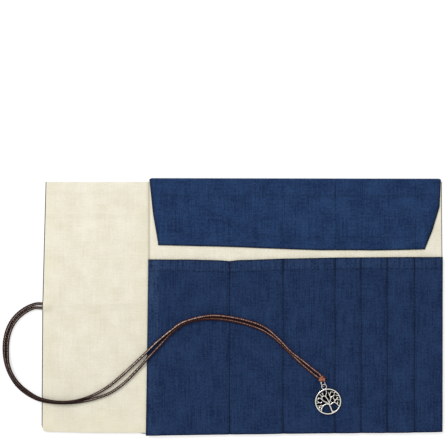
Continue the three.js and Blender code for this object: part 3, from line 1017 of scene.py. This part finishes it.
SEAM_OFFSETS = (-1.9, -1.2, -0.75, -0.45, -0.2, 0, 0.2, 0.45, 0.75, 1.2, 1.9)
SEAM_COLUMNS = [x + offset for x in DIVIDERS for offset in SEAM_OFFSETS]
HEM_ROWS = (8.0, 8.4, 8.8, 9.2, 9.6, 10.0)


def pocket_shade(x, y):
    """Darker along the seams, most of all near their two ends, and along the hem's stitching."""
    ends = np.maximum(step(8, 30, y), 1 - step(-94, -72, y))
    away = seam_distance(x, y)
    seam = bell(away, 0, 0.42) * (0.24 + 0.46 * ends) + 0.10 * bell(away, 0, 2.2)
    below = pocket_top(x) - y
    hem, mouth = 0.1 * bell(below, 9.1, 0.45), 0.7 * bell(below, 0, 0.7)
    sides = 0.6 * bell(np.minimum(x + 74.3, 155.6 - x), 0, 0.7)
    bottom = 0.8 * bell(y, pocket_bottom(x), 0.8)
    return np.clip(seam + hem + mouth + sides + bottom, 0, 0.85)


def pocket_pale(x, y):
    """Paler along the folded seam allowance at the left, and where the hem is doubled."""
    inside = x - POCKET_LEFT_X
    left = step(0.5, 2.5, inside) * (1 - step(7.5, 10.5, inside)) * (0.25 + 0.5 * step(-40, 10, y))
    hem = 0.3 * (1 - step(7.0, 9.5, pocket_top(x) - y))
    return np.maximum(left, hem)


def flap_shade(x, y):
    """Darker along the edges and where the seam allowances end."""
    inside = flap_inset(x, y)
    return 0.16 * bell(inside, 10, 0.8) + 0.16 * bell(y, 85.6, 0.8) + 0.85 * bell(inside, 0, 0.85)


def lining_shade(x, y):
    """Darker along the seam, along old creases in the plain end, and a little lower down."""
    creases = ((2.5 + 0.02 * x, 0.1), (-55, 0.06), (70, 0.06), (88, 0.05))
    crease = sum(depth * bell(y, place, 1.2) for place, depth in creases)
    lower = 0.07 * (1 - step(-30, 60, y))
    return 0.5 * bell(x, LINING_SEAM_X, 0.45) + lower + crease * on_plain_end(x)


def lining_pale(x, y):
    """Yellower towards the bottom and the free edges."""
    low = 0.5 * (1 - step(-99, -70, y)) + 0.35 * (1 - step(-156, -140, x)) + 0.3 * step(-90, -73, x)
    return np.clip(low * (0.5 + soft_noise(x, y, 16, 13, 23)), 0, 0.8) * (1 - step(-73, -72, x))


COVER_COLUMNS = (-155.0, -154.4, -153.8, -153.2, 153.6, 154.2, 154.8, 155.2)


def cover_shade(x, y):
    """The turned-in edges at both ends of the case show mostly navy yarn, painted darker still as shade under
    the lining's edge.
    """
    inside = np.minimum(x - case_left(y), case_right(y) - x)
    return 0.92 * (1 - step(0.9, 1.5, inside))


COVER_TOP, LINING_TOP = 96.5, 96.45
for k in range(1, LAST + 1):
    cover = make_sheet(
        f"cover_{k:02d}", CHECK, *sides_of(k, 1, LAST, case_left, case_right), cover_bottom,
        line_at(COVER_TOP), cover_under, cover_over, (k == 1, k == LAST, True, True),
        spacing=2.3, rim=0.28, columns_at=COVER_COLUMNS, shade=cover_shade,
    )
    bend(cover)
    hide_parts(*(f"outer_cover_{n:02d}" for n in ((1, 2) if k == 1 else (k + 1,))))

# The side, the first and last piece, the two ends, and how much higher the strip's number is.
LININGS = (
    ("left", 1, FIRST, moved(case_left, 0.75), line_at(LINING_SEAM_X - 0.04), 0),
    ("right", FIRST, LAST, line_at(LINING_SEAM_X + 0.04), moved(case_right, -0.6), 1),
)
for side, first, last, left_end, right_end, shift in LININGS:
    for k in range(first, last + 1):
        lining = make_sheet(
            f"lining_{side}_{k:02d}", CREAM, *sides_of(k, first, last, left_end, right_end),
            moved(lining_bottom, 0.1), line_at(LINING_TOP), lining_under, lining_over,
            (k == first, k == last, True, True), spacing=1.7, rim=0.3, shade=lining_shade, pale=lining_pale,
        )
        bend(lining)
        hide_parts(f"{side}_lining_{k + shift:02d}")


# ---------------------------------------------------------------- stitches
STITCH_LENGTH, SEAM_PITCH, HEM_PITCH = 2.3, 3.0, 3.84
THREAD_RADIUS, THREAD_SIDES = 0.13, 6


def stitches(name, places, surface, material):
    """Short lengths of thread that rise out of the cloth and go back in. places are
    (x, y, direction x, direction y)."""
    ring = THREAD_RADIUS * np.stack([np.cos(turns(THREAD_SIDES)), np.sin(turns(THREAD_SIDES))], axis=1)
    reach = np.array([-0.5, -0.42, -0.2, 0.2, 0.42, 0.5]) * STITCH_LENGTH
    rise = np.array([-0.2, 0.0, 0.1, 0.1, 0.0, -0.2])
    points, faces, uv = [], [], []
    for x, y, along_x, along_y in places:
        px, py = x + reach * along_x, y + reach * along_y
        pz = surface(px, py) + rise
        start = len(points)
        for n in range(len(reach)):
            for s, (across, up) in enumerate(ring):
                points.append((px[n] - along_y * across, py[n] + along_x * across, pz[n] + up))
                uv.append((reach[n] / 10, s / THREAD_SIDES))
        faces += ring_faces(len(reach), THREAD_SIDES, start=start)
        faces.append(range(start + THREAD_SIDES - 1, start - 1, -1))
        faces.append(range(len(points) - THREAD_SIDES, len(points)))
    return new_object(name, points, faces, material, uv=uv)


def places_for(k):
    """Every stitch of the pocket front's piece k: down its dividers, and along its hem."""
    low = -74.4 if k == FIRST else middle_of(k)
    high = 155.0 if k == LAST else middle_of(k + 1)

    def top_at(x):
        return float(pocket_top(np.array([x]))[0])

    found = []
    for x in DIVIDERS:
        if low <= x < high:
            for y in np.arange(-96.5, top_at(x) - 1.5, SEAM_PITCH):
                found.append((x + float(seam_wander(y)), float(y), 0.0, 1.0))
    for x in -72.3 + HEM_PITCH * np.arange(60):
        if low + 1.2 <= x < high - 1.2:
            found.append((x, top_at(x) - 8.9, 1.0, (top_at(x + 1) - top_at(x - 1)) / 2))
    return found


for k in range(FIRST, LAST + 1):
    pocket = make_sheet(
        f"pocket_{k + 1:02d}", NAVY_POCKET, *sides_of(k, FIRST, LAST, pocket_left, moved(case_right, 0.1)),
        pocket_bottom, pocket_top, pocket_under, pocket_over, (k == FIRST, k == LAST, True, True),
        spacing=1.25, rim=0.32, columns_at=SEAM_COLUMNS, rows_below=HEM_ROWS, shade=pocket_shade,
        pale=pocket_pale,
    )
    bend(pocket)
    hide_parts(f"pocket_front_{k + 1:02d}")
    sewn = places_for(k)
    if sewn:
        thread = stitches(f"pocket_stitches_{k + 1:02d}", sewn, pocket_over, NAVY_THREAD)
        bend(thread)


# ---------------------------------------------------------------- flap
# The fold's tail, (y, z), and the direction that each of its points faces.
TAIL = ((96.6, 0.98), (94.9, 0.72), (94.9, 0.64), (96.5, 0.60))
TAIL_FACES = (2.2, 3.0, -3.0, -2.2)
FOLD_ENDS = -72.2, 154.4


def fold_piece(k):
    """The flap's rolled fold on piece k, with the tail that is sewn between the panels."""
    low = FOLD_ENDS[0] if k == FIRST else middle_of(k)
    high = FOLD_ENDS[1] if k == LAST else middle_of(k + 1)
    x = np.linspace(low, high, max(2, round((high - low) / 1.6) + 1))
    turn = np.radians(np.arange(-130, 151, 20))
    rings = []
    for place in x:
        # The last millimetre of each free end is drawn in, so that it looks turned under.
        end = min(place - FOLD_ENDS[0], FOLD_ENDS[1] - place)
        size = FOLD_RADIUS * (1 - 0.5 * (1 - min(1.0, end / 0.8)) ** 2)
        fuller = np.where(np.cos(turn) > 0, np.interp(place, (-72, 155), (1.35, 0.95)), 1)
        y, z = FOLD_Y + size * np.cos(turn) * fuller, FOLD_Z + size * np.sin(turn)
        rings.append([(place, *point) for point in (*zip(y, z), *TAIL)])
    rings = np.array(rings)
    count, sides = rings.shape[:2]
    faces = ring_faces(count, sides)
    faces.append(range(sides - 1, -1, -1))
    faces.append(range((count - 1) * sides, count * sides))
    points = rings.reshape(-1, 3)
    around = np.tile(np.linspace(0, 7.5, sides), count)
    uv = np.stack([points[:, 0] / 100, (FOLD_Y + around) / 100], axis=1)
    normals = np.zeros((len(points), 3))
    for ring in (0, count - 1):
        for s, facing in enumerate((*turn, *TAIL_FACES)):
            normals[ring * sides + s] = (0, math.cos(facing), math.sin(facing))
    return new_object(f"flap_fold_{k + 1:02d}", points, faces, NAVY_FLAP, uv=uv, normals=normals)


folds = {}
for k in range(FIRST, LAST + 1):
    folds[k] = fold_piece(k)
    bend(folds[k])

# The upper face of each part of the flap ends a hair short of the next, so that the parts don't cut
# into each other when the case is rolled up.
FLAP_EASE = 0.08
FIRST_PART, LAST_PART = FIRST + 1, STRIP_COUNT
for strip in range(FIRST_PART, LAST_PART + 1):
    low = CASE_LEFT + STRIP_WIDTH * (strip - 1)
    left = flap_left if strip == FIRST_PART else line_at(low)
    right = flap_right if strip == LAST_PART else line_at(low + STRIP_WIDTH)
    plate = make_sheet(
        f"flap_panel_{strip:02d}", NAVY_FLAP, left, right, flap_hem, line_at(FOLD_Y), flap_under, flap_over,
        (strip == FIRST_PART, strip == LAST_PART, True, False), spacing=1.3, rim=0.42, shade=flap_shade,
        ease=FLAP_EASE,
    )
    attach(plate, f"flap_part_{strip:02d}")
    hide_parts(f"flap_{strip:02d}")


# ---------------------------------------------------------------- floor and light
white_floor = Graph(
    "floor_white", Base_Color=(0.52, 0.52, 0.52, 1), Roughness=0.9, Specular_IOR_Level=0.1,
    Emission_Color=(1, 1, 1, 1), Emission_Strength=0.56,
)
FLOOR_REACH = 4000
corners = [(x * FLOOR_REACH, y * FLOOR_REACH, 0) for x, y in ((-1, -1), (1, -1), (1, 1), (-1, 1))]
floor = new_object("floor", corners, [(0, 1, 2, 3)], white_floor.material)

world = bpy.data.worlds.new("studio")
bpy.context.scene.world = world
world.use_nodes = True
sky = world.node_tree.nodes["Background"]
sky.inputs["Color"].default_value = (1, 1, 1, 1)
sky.inputs["Strength"].default_value = 0.72


def soft_box(name, place, size, power):
    data = bpy.data.lights.new(name, "AREA")
    data.shape, data.size, data.energy = "DISK", size, power
    light = bpy.data.objects.new(name, data)
    light.location = place
    light.rotation_euler = (Vector((0, 0, 0)) - Vector(place)).to_track_quat("-Z", "Y").to_euler()
    bpy.context.scene.collection.objects.link(light)


soft_box("key_light", (-1.1, 1.2, 1.5), 0.8, 22)
bpy.context.scene.view_settings.view_transform = "Standard"
